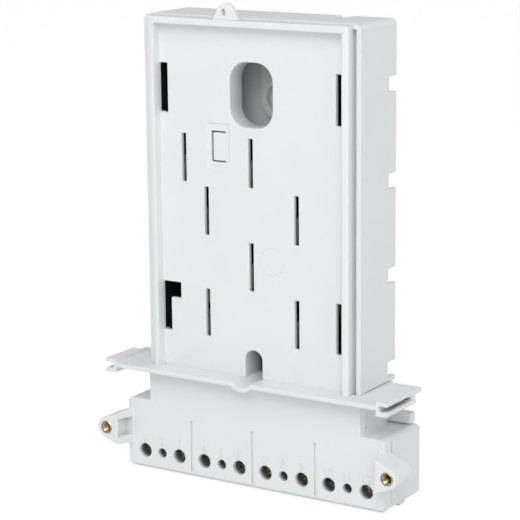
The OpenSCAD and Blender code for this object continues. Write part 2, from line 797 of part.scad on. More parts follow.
module main_screw(i) clamp_screw(MAINS[i], main_head_d, main_shank_d, 1, [0.5, 0.42, 0.3]);
module aux_screw(i) clamp_screw(GROUPS[i], aux_head_d, aux_shank_d, 0.8, [0.65, 0.67, 0.7]);
module main_cage(i) clamp_cage(MAINS[i], main_cage_x, main_cage_wall, main_cage_y1,
                               main_cage_front, main_cage_back, main_shank_d);
module aux_cage(i) clamp_cage(GROUPS[i], aux_cage_x, aux_cage_wall, aux_cage_y1,
                              main_cage_front - 0.5, aux_cage_back, aux_shank_d);

// ---------- inserts and screws ----------

module threaded_insert(s) color([0.8, 0.62, 0.25]) difference() {
  rod_y(s * insert_x, 0, insert_od, ear_y, ear_y + insert_l);
  rod_y(s * insert_x, 0, insert_bore, ear_y - 1, ear_y + insert_l + 1);
}

// Self-tapping screw driven towards the front, its head at y
module tapping_screw(x, z, y, length) {
  rod_y(x, z, tap_head_d, y - tap_head_h, y);
  rod_y(x, z, tap_d, y - tap_head_h - length, y - tap_head_h + eps);
}

module carrier_screws() color([0.65, 0.67, 0.7])
  for (p = CARRIER_SCREWS, s = [-1, 1])
    tapping_screw(s * p[0], p[1], back_y + back_t, 24);

module conductor_screws() color([0.65, 0.67, 0.7])
  for (p = POSTS) {
    rod_y(p[0], p[1], tap_head_d, bar_y + bar_t - tap_head_h, bar_y + bar_t);
    rod_y(p[0], p[1], tap_d, bar_y + bar_t - eps, -3.4);
  }

module block_screws() color([0.65, 0.67, 0.7])
  for (x = BLOCK_SCREWS) tapping_screw(x, block_screw_z, -1.4, 25);

rear_housing();
carrier_panel();
latch_tongue();
partition_plate();
terminal_block_front();
terminal_block_rear();
contact_carrier();
jaw(SLOTS[0]);  // contact_jaw_1
jaw(SLOTS[1]);  // contact_jaw_2
jaw(SLOTS[2]);  // contact_jaw_3
jaw(SLOTS[3]);  // contact_jaw_4
jaw(SLOTS[4]);  // contact_jaw_5
jaw(SLOTS[5]);  // contact_jaw_6
jaw(SLOTS[6]);  // contact_jaw_7
jaw_springs();
busbar_l1_line();
busbar_l1_load();
busbar_l2_line();
busbar_l2_load();
busbar_l3_line();
busbar_l3_load();
busbar_neutral();
main_screw(0);  // screw_1
main_screw(1);  // screw_3
main_screw(2);  // screw_4
main_screw(3);  // screw_6
main_screw(4);  // screw_7
main_screw(5);  // screw_9
main_screw(6);  // screw_10
main_screw(7);  // screw_12
main_cage(0);  // cage_1
main_cage(1);  // cage_3
main_cage(2);  // cage_4
main_cage(3);  // cage_6
main_cage(4);  // cage_7
main_cage(5);  // cage_9
main_cage(6);  // cage_10
main_cage(7);  // cage_12
aux_screw(0);  // screw_2
aux_screw(1);  // screw_5
aux_screw(2);  // screw_8
aux_screw(3);  // screw_11
aux_cage(0);  // cage_2
aux_cage(1);  // cage_5
aux_cage(2);  // cage_8
aux_cage(3);  // cage_11
threaded_insert(-1);  // insert_left
threaded_insert(1);  // insert_right
carrier_screws();
conductor_screws();
block_screws();
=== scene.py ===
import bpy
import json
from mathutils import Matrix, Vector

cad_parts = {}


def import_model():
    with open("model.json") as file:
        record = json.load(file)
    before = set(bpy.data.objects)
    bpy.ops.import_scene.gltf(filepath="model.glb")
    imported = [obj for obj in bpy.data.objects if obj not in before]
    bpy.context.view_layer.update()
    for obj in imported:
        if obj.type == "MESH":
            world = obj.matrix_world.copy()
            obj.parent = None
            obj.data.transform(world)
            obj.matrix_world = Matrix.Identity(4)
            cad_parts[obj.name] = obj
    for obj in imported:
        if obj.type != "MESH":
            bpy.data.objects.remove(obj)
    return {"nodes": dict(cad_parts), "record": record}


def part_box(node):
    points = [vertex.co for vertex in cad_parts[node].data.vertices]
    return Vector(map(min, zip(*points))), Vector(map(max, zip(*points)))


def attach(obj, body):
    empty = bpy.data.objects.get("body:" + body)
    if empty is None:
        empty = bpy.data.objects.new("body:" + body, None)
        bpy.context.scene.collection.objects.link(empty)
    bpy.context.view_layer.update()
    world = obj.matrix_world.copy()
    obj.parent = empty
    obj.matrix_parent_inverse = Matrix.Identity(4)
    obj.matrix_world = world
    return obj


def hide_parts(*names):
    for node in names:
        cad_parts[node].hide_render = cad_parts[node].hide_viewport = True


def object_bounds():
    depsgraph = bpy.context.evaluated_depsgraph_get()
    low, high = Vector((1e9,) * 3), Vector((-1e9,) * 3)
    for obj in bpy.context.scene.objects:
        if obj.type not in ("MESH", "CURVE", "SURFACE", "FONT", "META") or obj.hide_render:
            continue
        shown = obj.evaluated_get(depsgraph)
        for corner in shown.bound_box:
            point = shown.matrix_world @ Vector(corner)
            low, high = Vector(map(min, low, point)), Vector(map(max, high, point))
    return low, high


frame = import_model()
cad_box = [list(corner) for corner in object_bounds()]

import json
import math

import bmesh
import bpy
import numpy as np
from mathutils import Matrix, Vector

MM = 0.001
NODES = frame["nodes"]
BODY_OF = {n: body for body, nodes in frame["record"]["behaviour"]["bodies"].items() for n in nodes}
SLOT_OF = {s["node"]: s["material_slot"] for s in frame["record"]["subparts"]}

# Terminals, left to right
MAIN_SCREWS = (1, 3, 4, 6, 7, 9, 10, 12)
AUX_SCREWS = (2, 5, 8, 11)

# Edge rounding: width in millimetres, segments, and the share of the room beside an edge that it takes
SHELL_EDGE = 0.4
SHELL_SEGMENTS = 3
METAL_EDGE = 0.15
METAL_SEGMENTS = 2
ROOM_SHARE = 0.42
# Edges over SHARP are rounded, and edges over CREASE keep a crease in the shading
SHARP = math.radians(32)
CREASE = math.radians(40)
# Clearance under the panel in millimetres, closed here because the panel stands on the partition plate
PANEL_JOINT = 0.19

# Terminal screws: head, thread and drive
HEAD_HEIGHT = 2.6 * MM
HEAD_DOME = 0.15 * MM
SHANK_TIP = 0.4 * MM
THREAD_DEPTH = 0.32 * MM
SHANK_IN_HEAD = 0.02 * MM
DRIVE_DEPTH = 1.15 * MM
MAIN_RADIUS = 2.45 * MM
MAIN_PITCH = 1.0 * MM
MAIN_DRIVE = 1.0 * MM
AUX_RADIUS = 1.7 * MM
AUX_PITCH = 0.7 * MM
AUX_DRIVE = 0.8 * MM
# How far each terminal screw happens to be turned, in degrees
SCREW_TURNS = {1: 20, 2: 75, 3: 118, 4: 60, 5: 10, 6: 150, 7: 35, 8: 95, 9: 80, 10: 165, 11: 50, 12: 105}

# Drive recess, as shares: the slot and cross of the screw's radius, the cross's point of its own size
SLOT_SPAN = 3
CROSS_SPAN = 1.25
TAP_CROSS_SPAN = 1.15
POINT_LENGTH = 0.45
POINT_WIDTH = 0.7

# Self-tapping screws
TAP_HEAD = 1.6 * MM
TAP_DOME = 0.3 * MM
TAP_RADIUS = 1.4 * MM
TAP_DEPTH = 0.38 * MM
TAP_PITCH = 1.15 * MM
TAP_POINT = 1.6 * MM
TAP_DRIVE = 0.75 * MM
TAP_DRIVE_DEPTH = 0.9 * MM
TAP_TURN = 37

# Brass inserts, M5
INSERT_BORE = 2.1 * MM
INSERT_DEPTH = 0.34 * MM
INSERT_PITCH = 0.8 * MM
INSERT_CHAMFER = 0.2 * MM
INSERT_GROOVE = 0.15 * MM
INSERT_STEPS = 48

# Raised terminal numbers; a capital is CAP_SHARE of the font's size
NUMBER_HEIGHT = 3.9 * MM
NUMBER_BASE = -6.9 * MM
NUMBER_RELIEF = 0.3 * MM
NUMBER_THINNING = 0.0019 * MM
CAP_SHARE = 0.71

# Camera: place in metres, angles in degrees, lens in millimetres
CAMERA_PLACE = (0.45466, -0.73959, 0.26895)
CAMERA_AZIMUTH = 32.4
CAMERA_ELEVATION = 12.5
CAMERA_ROLL = -0.54
CAMERA_LENS = 141.5

# Studio: strength of the surroundings and of the floor, as they light the object and as the camera sees them
AMBIENT = 0.52
BACKDROP = 1.05
FLOOR_GLOW = 0.5
FLOOR_SEEN = 0.78
FLOOR_HALF = 6.0
FLOOR_GAP = 0.3 * MM
# Place of the lights, in metres
LIGHT_DISTANCE = 1.6
LIGHT_TARGET = (0, 0, 0.08)
# name, azimuth and elevation in degrees, size in metres, power in watts
LIGHTS = (("key", 30, 22, 1.0, 4.0), ("side", 85, 18, 1.0, 2.9), ("top", 20, 44, 1.0, 10.5))


# ---------- materials ----------

def new_material(name):
    """An empty node material, with its Principled shader and Object coordinates."""
    mat = bpy.data.materials.new(name)
    mat.use_nodes = True
    tree = mat.node_tree
    tree.nodes.clear()
    out = tree.nodes.new("ShaderNodeOutputMaterial")
    shader = tree.nodes.new("ShaderNodeBsdfPrincipled")
    coords = tree.nodes.new("ShaderNodeTexCoord")
    tree.links.new(shader.outputs["BSDF"], out.inputs["Surface"])
    return mat, tree, shader, coords.outputs["Object"]


def noise(tree, coords, scale, detail=3.0, rough=0.55, stretch=None):
    """A noise pattern of scale cells per metre, stretched if asked."""
    if stretch:
        mapping = tree.nodes.new("ShaderNodeMapping")
        mapping.inputs["Scale"].default_value = stretch
        tree.links.new(coords, mapping.inputs["Vector"])
        coords = mapping.outputs["Vector"]
    tex = tree.nodes.new("ShaderNodeTexNoise")
    tex.inputs["Scale"].default_value = scale
    tex.inputs["Detail"].default_value = detail
    tex.inputs["Roughness"].default_value = rough
    tree.links.new(coords, tex.inputs["Vector"])
    return tex.outputs["Fac"]


def ramp(tree, fac, low, high, start=0.3, end=0.7):
    """Maps a pattern to a range of numbers."""
    node = tree.nodes.new("ShaderNodeMapRange")
    node.inputs["From Min"].default_value = start
    node.inputs["From Max"].default_value = end
    node.inputs["To Min"].default_value = low
    node.inputs["To Max"].default_value = high
    tree.links.new(fac, node.inputs["Value"])
    return node.outputs["Result"]


def tint(tree, fac, dark, light):
    """Mixes two colours by a pattern."""
    node = tree.nodes.new("ShaderNodeMix")
    node.data_type = "RGBA"
    node.inputs["A"].default_value = (*dark, 1)
    node.inputs["B"].default_value = (*light, 1)
    tree.links.new(fac, node.inputs["Factor"])
    return node.outputs["Result"]


def bump(tree, height, depth, normal=None):
    """Raises the surface by a pattern; depth is in millimetres."""
    node = tree.nodes.new("ShaderNodeBump")
    node.inputs["Strength"].default_value = 1.0
    node.inputs["Distance"].default_value = depth * MM
    tree.links.new(height, node.inputs["Height"])
    if normal:
        tree.links.new(normal, node.inputs["Normal"])
    return node.outputs["Normal"]


def scaled(color, factor):
    """A colour made darker or lighter."""
    return tuple(min(1.0, c * factor) for c in color)


def dimmed(tree, color, level):
    """A colour multiplied by a pattern."""
    node = tree.nodes.new("ShaderNodeVectorMath")
    node.operation = "SCALE"
    tree.links.new(color, node.inputs[0])
    tree.links.new(level, node.inputs["Scale"])
    return node.outputs["Vector"]


def darker_in_gaps(tree, color, reach, dark, free):
    """Painted shade: dims a colour down to dark in holes and narrow gaps, and not at all where more than free
    is open.

    reach is in millimetres.
    """
    gap = tree.nodes.new("ShaderNodeAmbientOcclusion")
    gap.samples = 8
    gap.inputs["Distance"].default_value = reach * MM
    return dimmed(tree, color, ramp(tree, gap.outputs["AO"], dark, 1.0, start=0.05, end=free))


def darker_with_depth(tree, coords, color, front, rear, dark):
    """Painted shade: dims a colour from the depth front down to dark at the depth rear, both in millimetres
    along Y.
    """
    split = tree.nodes.new("ShaderNodeSeparateXYZ")
    tree.links.new(coords, split.inputs["Vector"])
    level = ramp(tree, split.outputs["Y"], 1.0, dark, start=front * MM, end=rear * MM)
    return dimmed(tree, color, level)


def plastic(name, color, rough=0.42, grain=0.006, gaps=None, fade=None):
    """Moulded plastic: a fine spark-eroded grain, faint flow clouds and uneven gloss.

    gaps is (reach, dark, free) for the painted shade of darker_in_gaps, and fade is (front, rear, dark) for
    the painted shade of darker_with_depth.
    """
    mat, tree, shader, coords = new_material(name)
    clouds = noise(tree, coords, 38, detail=4)
    base = tint(tree, ramp(tree, clouds, 0, 1), scaled(color, 0.985), scaled(color, 1.012))
    # Painted shade in holes and narrow gaps, when gaps is given
    if gaps:
        base = darker_in_gaps(tree, base, *gaps)
    # Painted shade that deepens with depth, when fade is given
    if fade:
        base = darker_with_depth(tree, coords, base, *fade)
    tree.links.new(base, shader.inputs["Base Color"])
    gloss = noise(tree, coords, 160, detail=5)
    tree.links.new(ramp(tree, gloss, rough - 0.05, rough + 0.06), shader.inputs["Roughness"])
    fine = bump(tree, noise(tree, coords, 5200, detail=2), grain)
    wave = bump(tree, noise(tree, coords, 55, detail=1), 0.03, fine)
    tree.links.new(wave, shader.inputs["Normal"])
    shader.inputs["Specular IOR Level"].default_value = 0.4
    shader.inputs["Subsurface Weight"].default_value = 0.06
    shader.inputs["Subsurface Scale"].default_value = 0.8 * MM
    return mat


def metal(name, color, rough=0.3, stretch=None, patina_and_glints=0.8, cells=420, dark=0.12):
    """Worked metal: clouds of patina, uneven gloss, fine tool marks and painted shade in narrow gaps.

    tarnish is the brightness of the clouds, which on the terminal screws are fine speckles that paint glints
    as well as patina; cells is their number per metre, and dark is the brightness of the metal in narrow
    gaps, a painted shade.
    """
    mat, tree, shader, coords = new_material(name)
    clouds = noise(tree, coords, cells, detail=5, rough=0.6)
    base = tint(tree, ramp(tree, clouds, 0, 1), scaled(color, patina_and_glints), color)
    # Painted shade: the metal is dimmed down to dark in narrow gaps
    base = darker_in_gaps(tree, base, reach=4, dark=dark, free=0.55)
    tree.links.new(base, shader.inputs["Base Color"])
    gloss = noise(tree, coords, 900, detail=4)
    tree.links.new(ramp(tree, gloss, rough - 0.08, rough + 0.12), shader.inputs["Roughness"])
    marks = noise(tree, coords, 3200, detail=2, stretch=stretch)
    tree.links.new(bump(tree, marks, 0.004), shader.inputs["Normal"])
    shader.inputs["Metallic"].default_value = 1.0
    return mat


MATERIALS = {
    "housing_plastic": plastic("housing_plastic", (0.74, 0.765, 0.765)),
    # The panel carries painted shade: darker with depth behind the bay floor, inside its sleeves and openings
    "panel_plastic": plastic("panel_plastic", (0.77, 0.795, 0.80), fade=(-28.5, -18, 0.64)),
    # The block carries painted shade: darker in its terminal holes and narrow gaps
    "block_plastic": plastic("block_plastic", (0.755, 0.78, 0.785), gaps=(9, 0.16, 0.36)),
    # The carrier is near black as painted shade: it stands for the unlit inside seen through the windows and
    # slots
    "carrier_plastic": plastic("carrier_plastic", (0.015, 0.017, 0.018), rough=0.62),
    "jaw_brass": metal("jaw_brass", (0.50, 0.49, 0.46), rough=0.42, stretch=(1, 1, 0.2)),
    "spring_steel": metal("spring_steel", (0.42, 0.43, 0.45), rough=0.3, stretch=(1, 1, 0.1)),
    "busbar_brass": metal("busbar_brass", (0.50, 0.47, 0.41), rough=0.34, stretch=(1, 1, 0.08)),
    "insert_brass": metal("insert_brass", (0.66, 0.55, 0.33), rough=0.24, stretch=(0.3, 2, 0.3)),
    "cage_metal": metal("cage_metal", (0.56, 0.53, 0.42), rough=0.36),
    # Terminal screws: bright colour with fine dark speckles, whose bright specks are painted glints as well
    # as patina; no painted shade in gaps (dark=1.0)
    "terminal_screw": metal("terminal_screw", (0.88, 0.84, 0.66), rough=0.26, patina_and_glints=0.16,
                            cells=1400, dark=1.0),
    "screw_zinc": metal("screw_zinc", (0.66, 0.67, 0.69), rough=0.3, dark=0.6),
    # The numbers are moulded in the block's plastic; their darker colour is painted shade round their relief
    "numbers_painted_shade": plastic("numbers_painted_shade", (0.71, 0.73, 0.74)),
}


# ---------- mesh helpers ----------

def new_object(name, data):
    """An object in the scene, from a mesh, curve, light or camera."""
    obj = bpy.data.objects.new(name, data)
    bpy.context.scene.collection.objects.link(obj)
    return obj


def finish_piece(obj, node, material=None):
    """Gives a piece the body of a CAD node and the material of its slot; a material of its own may be named.
    """
    slot = SLOT_OF[node]
    obj.data.materials.clear()
    obj.data.materials.append(MATERIALS[material or slot])
    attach(obj, BODY_OF[node])


def stand_for(obj, node):
    """Lets a piece take the place of a CAD node."""
    finish_piece(obj, node)
    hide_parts(node)


def applied(obj):
    """Replaces an object's mesh with the result of its modifiers."""
    graph = bpy.context.evaluated_depsgraph_get()
    mesh = bpy.data.meshes.new_from_object(obj.evaluated_get(graph))
    obj.modifiers.clear()
    obj.data = mesh
    return obj


def clean_mesh(source):
    """A welded copy of a CAD mesh, its flat faces joined, as a bmesh."""
    bm = bmesh.new()
    bm.from_mesh(source)
    bmesh.ops.remove_doubles(bm, verts=bm.verts, dist=0.002 * MM)
    bmesh.ops.dissolve_limit(bm, angle_limit=math.radians(0.6), verts=bm.verts, edges=bm.edges)
    bmesh.ops.recalc_face_normals(bm, faces=bm.faces)
    return bm


def shade(obj):
    """Smooth shading, with flat faces kept flat and creases kept sharp."""
    mesh = obj.data
    mesh.shade_smooth()
    mesh.set_sharp_from_angle(angle=CREASE)
    weigh = obj.modifiers.new("Weighted normals", "WEIGHTED_NORMAL")
    weigh.mode = "FACE_AREA"
    weigh.weight = 100
    weigh.thresh = 0.01
    weigh.keep_sharp = True
    applied(obj)


def sides_of(edge, along):
    """For each face beside an edge: the face, its normal and the direction across it, off the edge."""
    sides = []
    for face in edge.link_faces:
        normal = np.array(face.normal)
        inward = np.cross(normal, along)
        loop = next(l for l in face.loops if l.edge == edge)
        if np.array(loop.link_loop_next.vert.co - loop.vert.co) @ along < 0:
            inward = -inward
        sides.append((face, normal, inward))
    return sides


def reach_across(offsets, normal, inward):
    """The least distance across a face to the points at these offsets that lie in its plane."""
    in_plane = np.abs(offsets @ normal) < 0.05 * MM
    reach = (offsets @ inward)[in_plane]
    reach = reach[reach > 0.02 * MM]
    return reach.min() if len(reach) else np.inf


def room_beside(edges):
    """For each sharp edge, the least width beside it: of its two faces, and up to the next sharp edge."""
    a = np.array([e.verts[0].co for e in edges])
    b = np.array([e.verts[1].co for e in edges])
    room = np.full(len(edges), 1.0)
    for i, edge in enumerate(edges):
        along = (b[i] - a[i]) / max(np.linalg.norm(b[i] - a[i]), 1e-9)
        sides = sides_of(edge, along)
        for face, _, inward in sides:
            corners = np.array([v.co for v in face.verts])
            room[i] = min(room[i], ((corners - a[i]) @ inward).max())
        # Near both ends of the edge and at its middle, where the other sharp edges cross the plane there
        for share in (0.12, 0.5, 0.88):
            at = a[i] + (b[i] - a[i]) * share
            before = (a - at) @ along
            after = (b - at) @ along
            spans = before * after < 0
            spans[i] = False
            part = (before[spans] / (before[spans] - after[spans]))[:, None]
            offsets = a[spans] + (b[spans] - a[spans]) * part - at
            for _, normal, inward in sides:
                room[i] = min(room[i], reach_across(offsets, normal, inward))
    return room


def foot_of(node, bm):
    """The vertices at the foot of a CAD node."""
    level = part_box(node)[0].z + 0.05 * MM
    return {v for v in bm.verts if v.co.z < level}


def round_edges(obj, width, segments):
    """Bevels the weighted edges of an object."""
    bevel = obj.modifiers.new("Bevel", "BEVEL")
    bevel.limit_method = "WEIGHT"
    bevel.width = width
    bevel.segments = segments
    bevel.use_clamp_overlap = False
    bevel.loop_slide = False
    applied(obj)


def soften(node, width=SHELL_EDGE, segments=SHELL_SEGMENTS, foot_drop=0.0):
    """A CAD node with rounded edges, at most width millimetres wide and less where there is no room.

    With a foot_drop, its foot stays crisp and is let down by that many millimetres on to the piece below.
    """
    bm = clean_mesh(NODES[node].data)
    layer = bm.edges.layers.float.new("bevel_weight_edge")
    foot = foot_of(node, bm) if foot_drop else set()
    sharp = [e for e in bm.edges if len(e.link_faces) == 2 and e.calc_face_angle(0) > SHARP]
    sharp = [e for e in sharp if not foot.issuperset(e.verts)]
    full = width * MM
    for edge, space in zip(sharp, room_beside(sharp)):
        edge[layer] = min(1.0, ROOM_SHARE * space / full)
    for v in foot:
        v.co.z -= foot_drop * MM
    # Faces with many corners fold over themselves in the bevel, so they are split first
    bmesh.ops.triangulate(bm, faces=[f for f in bm.faces if len(f.verts) > 4])
    for face in bm.faces:
        face.smooth = True
    mesh = bpy.data.meshes.new(node + "_soft")
    bm.to_mesh(mesh)
    bm.free()
    obj = new_object(node + "_soft", mesh)
    round_edges(obj, full, segments)
    shade(obj)
    stand_for(obj, node)


# ---------- screws, inserts and numbers ----------

def circle(bm, radius, z, steps):
    """A ring of vertices round Z."""
    turns = [2 * math.pi * k / steps for k in range(steps)]
    return [bm.verts.new((radius * math.cos(t), radius * math.sin(t), z)) for t in turns]


def ring_faces(bm, rings):
    """Joins rings of vertices of equal count with quads."""
    for low, high in zip(rings, rings[1:]):
        count = len(low)
        for k in range(count):
            n = (k + 1) % count
            bm.faces.new((low[k], low[n], high[n], high[k]))


def revolve(bm, profile, steps=48):
    """Turns a profile of (radius, z) round Z; a radius of 0 closes the end."""
    rings = [circle(bm, radius, z, steps if radius else 1) for radius, z in profile]
    for low, high in zip(rings, rings[1:]):
        for k in range(steps):
            n = (k + 1) % steps
            if len(low) == 1:
                bm.faces.new((low[0], high[n], high[k]))
            elif len(high) == 1:
                bm.faces.new((low[k], low[n], high[0]))
            else:
                bm.faces.new((low[k], low[n], high[n], high[k]))


def thread_rings(bm, outer, depth, pitch, z0, z1, steps=36, per_turn=8):
    """Rings of a right-hand thread from z0 to z1, running out smoothly at both ends."""
    count = max(4, int(abs(z1 - z0) / pitch * per_turn))
    rings = []
    for j in range(count + 1):
        z = z0 + (z1 - z0) * j / count
        fade = min(1.0, j / per_turn, (count - j) / per_turn)
        ring = []
        for k in range(steps):
            phase = (z / pitch - k / steps) % 1.0
            notch = max(0.0, 1 - abs(phase - 0.5) * 2.6)
            radius = outer - depth * (1 - notch) * fade
            turn = 2 * math.pi * k / steps
            ring.append(bm.verts.new((radius * math.cos(turn), radius * math.sin(turn), z)))
        rings.append(ring)
    return rings


def threaded_shank(bm, radius, depth, pitch, z0, z1, tip=0.0):
    """A threaded rod from z0 up to z1, closed at both ends, with a cone of length tip at z0."""
    rings = thread_rings(bm, radius, depth, pitch, z0 + tip, z1)
    ring_faces(bm, rings)
    bm.faces.new(rings[-1])
    end = bm.verts.new((0, 0, z0))
    for k in range(len(rings[0])):
        bm.faces.new((end, rings[0][(k + 1) % len(rings[0])], rings[0][k]))


def box_at(bm, size, center):
    """The vertices of a new upright box."""
    verts = bmesh.ops.create_cube(bm, size=1.0)["verts"]
    bmesh.ops.scale(bm, vec=size, verts=verts)
    bmesh.ops.translate(bm, vec=center, verts=verts)
    return verts


def to_mesh(bm, name):
    """Turns a bmesh into a mesh, with its normals outward."""
    bmesh.ops.recalc_face_normals(bm, faces=bm.faces)
    mesh = bpy.data.meshes.new(name)
    bm.to_mesh(mesh)
    bm.free()
    return mesh


def cut(obj, cutter_mesh):
    """Subtracts a mesh from an object."""
    cutter = new_object("cutter", cutter_mesh)
    boolean = obj.modifiers.new("Cut", "BOOLEAN")
    boolean.operation = "DIFFERENCE"
    boolean.solver = "EXACT"
    boolean.use_self = True
    boolean.object = cutter
    applied(obj)
    bpy.data.objects.remove(cutter)
    return obj


def recess(width, depth, slot_length, cross_length):
    """Cutter for a head drive: a slot if it has a length, and a deeper tapered cross, from z = 0 down."""
    over = 0.5 * MM
    cross_depth = depth * 1.5
    bm = bmesh.new()
    if slot_length:
        box_at(bm, (slot_length, width, depth + over), (0, 0, (over - depth) / 2))
    for turn in (0, 90):
        arm = box_at(bm, (cross_length, width, cross_depth + over), (0, 0, (over - cross_depth) / 2))
        for v in arm:
            if v.co.z < 0:
                v.co.x *= POINT_LENGTH
                v.co.y *= POINT_WIDTH
        spin = Matrix.Rotation(math.radians(turn), 3, "Z")
        bmesh.ops.rotate(bm, cent=(0, 0, 0), matrix=spin, verts=arm)
    return bm


def drive_head(name, radius, height, dome, recess_bm):
    """A screw head standing on z = 0, rounded at the rim, with its drive cut in."""
    chamfer = 0.15 * MM
    edge = min(0.35 * MM, height * 0.3)
    inner = radius - edge
    shoulder = height - edge - dome
    profile = [(0, 0), (radius - chamfer, 0), (radius, chamfer), (radius, shoulder)]
    for k in range(1, 5):
        turn = math.radians(90 * k / 4)
        profile.append((inner + edge * math.cos(turn), shoulder + edge * math.sin(turn)))
    for k in range(1, 4):
        share = 1 - k / 4
        profile.append((inner * share, height - dome * share ** 2))
    profile.append((0, height))
    bm = bmesh.new()
    revolve(bm, profile)
    obj = new_object(name, to_mesh(bm, name))
    bmesh.ops.translate(recess_bm, vec=(0, 0, height), verts=recess_bm.verts)
    return cut(obj, to_mesh(recess_bm, "recess"))


def placed(meshes_and_matrices, name):
    """One mesh of several, each in its place."""
    bm = bmesh.new()
    for mesh, matrix in meshes_and_matrices:
        count = len(bm.verts)
        bm.from_mesh(mesh)
        bm.verts.ensure_lookup_table()
        bmesh.ops.transform(bm, matrix=matrix, verts=bm.verts[count:])
    mesh = bpy.data.meshes.new(name)
    bm.to_mesh(mesh)
    bm.free()
    return mesh


def aimed(point, axis):
    """Matrix that puts local z = 0 at a point, with local +Z along an axis."""
    return Matrix.Translation(point) @ Vector(axis).to_track_quat("Z", "Y").to_matrix().to_4x4()


def terminal_screw(number, shank_radius, pitch, drive_width):
    """A terminal screw: slotted and crossed head in front, thread behind."""
    node = f"screw_{number}"
    low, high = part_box(node)
    radius = (high.x - low.x) / 2
    length = high.y - low.y
    drive = recess(drive_width, DRIVE_DEPTH, radius * SLOT_SPAN, radius * CROSS_SPAN)
    head = drive_head(node + "_piece", radius, HEAD_HEIGHT, HEAD_DOME, drive)
    bm = bmesh.new()
    threaded_shank(bm, shank_radius, THREAD_DEPTH, pitch, HEAD_HEIGHT - length, SHANK_IN_HEAD, tip=SHANK_TIP)
    shank = to_mesh(bm, "shank")
    front = Vector(((low.x + high.x) / 2, low.y + HEAD_HEIGHT, (low.z + high.z) / 2))
    turn = Matrix.Rotation(math.radians(SCREW_TURNS[number]), 4, "Z")
    place = aimed(front, (0, -1, 0)) @ turn
    head.data = placed([(head.data, place), (shank, place)], node + "_piece")
    shade(head)
    stand_for(head, node)


def islands(node):
    """Each separate solid of a CAD node: the corners of its box, and its half width at the rear."""
    bm = clean_mesh(NODES[node].data)
    left = set(bm.verts)
    boxes = []
    while left:
        stack = [left.pop()]
        found = []
        while stack:
            v = stack.pop()
            found.append(v.co.copy())
            for e in v.link_edges:
                other = e.other_vert(v)
                if other in left:
                    left.remove(other)
                    stack.append(other)
        low = Vector([min(p[k] for p in found) for k in range(3)])
        high = Vector([max(p[k] for p in found) for k in range(3)])
        rear = [abs(p.x - (low.x + high.x) / 2) for p in found if p.y > high.y - 0.1 * MM]
        boxes.append((low, high, max(rear)))
    bm.free()
    return sorted(boxes, key=lambda b: (round(b[0].x, 5), round(b[0].z, 5)))


def tapping_screws(node):
    """Self-tapping screws with a pan head and a cross drive, where the CAD node has its solids."""
    parts = []
    for k, (low, high, rear) in enumerate(islands(node)):
        radius = (high.x - low.x) / 2
        length = high.y - low.y
        # The head is the wide end, so a wide rear means that the screw was driven in from behind
        facing = 1 if rear > radius * 0.8 else -1
        head_y = high.y - TAP_HEAD if facing > 0 else low.y + TAP_HEAD
        drive = recess(TAP_DRIVE, TAP_DRIVE_DEPTH, 0, radius * TAP_CROSS_SPAN)
        head = drive_head("tap_head", radius, TAP_HEAD, TAP_DOME, drive)
        bm = bmesh.new()
        threaded_shank(bm, TAP_RADIUS, TAP_DEPTH, TAP_PITCH, TAP_HEAD - length, SHANK_IN_HEAD, tip=TAP_POINT)
        middle = Vector(((low.x + high.x) / 2, head_y, (low.z + high.z) / 2))
        turn = Matrix.Rotation(math.radians(TAP_TURN * k), 4, "Z")
        place = aimed(middle, (0, facing, 0)) @ turn
        parts += [(head.data, place), (to_mesh(bm, "tap_shank"), place)]
        bpy.data.objects.remove(head)
    obj = new_object(node + "_piece", placed(parts, node + "_piece"))
    shade(obj)
    stand_for(obj, node)


def threaded_insert(node):
    """A brass insert: thin wall, chamfered mouth, a groove round the middle and a thread inside."""
    low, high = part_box(node)
    outer = (high.x - low.x) / 2
    length = high.y - low.y
    waist = outer - INSERT_GROOVE
    mouth = outer - INSERT_CHAMFER
    bm = bmesh.new()
    inside = thread_rings(bm, INSERT_BORE + INSERT_DEPTH, INSERT_DEPTH, INSERT_PITCH, 0, length, INSERT_STEPS)
    profile = ((mouth, length), (outer, length - INSERT_CHAMFER), (outer, length * 0.62),
               (waist, length * 0.6), (waist, length * 0.4),
               (outer, length * 0.38), (outer, INSERT_CHAMFER), (mouth, 0))
    outside = [circle(bm, radius, z, INSERT_STEPS) for radius, z in profile]
    ring_faces(bm, inside)
    ring_faces(bm, [inside[-1], *outside, inside[0]])
    obj = new_object(node + "_piece", to_mesh(bm, node + "_piece"))
    rear = Vector(((low.x + high.x) / 2, high.y, (low.z + high.z) / 2))
    obj.data.transform(aimed(rear, (0, -1, 0)))
    shade(obj)
    stand_for(obj, node)


def block_front():
    """Depth of the flat front face of the block: its largest face that looks forward."""
    faces = [f for f in NODES["terminal_block_front"].data.polygons if f.normal.y < -0.999]
    depths = {}
    for face in faces:
        level = round(face.center.y, 5)
        depths[level] = depths.get(level, 0) + face.area
    return max(depths, key=depths.get)


def number_mesh(number):
    """A number as a thin slab, standing on y = 0 and centred on x = 0."""
    curve = bpy.data.curves.new("number", "FONT")
    curve.body = str(number)
    curve.size = NUMBER_HEIGHT / CAP_SHARE
    curve.align_x = "CENTER"
    curve.extrude = NUMBER_RELIEF
    curve.offset = -NUMBER_THINNING
    curve.resolution_u = 6
    text = new_object("number", curve)
    graph = bpy.context.evaluated_depsgraph_get()
    mesh = bpy.data.meshes.new_from_object(text.evaluated_get(graph))
    bpy.data.objects.remove(text)
    return mesh


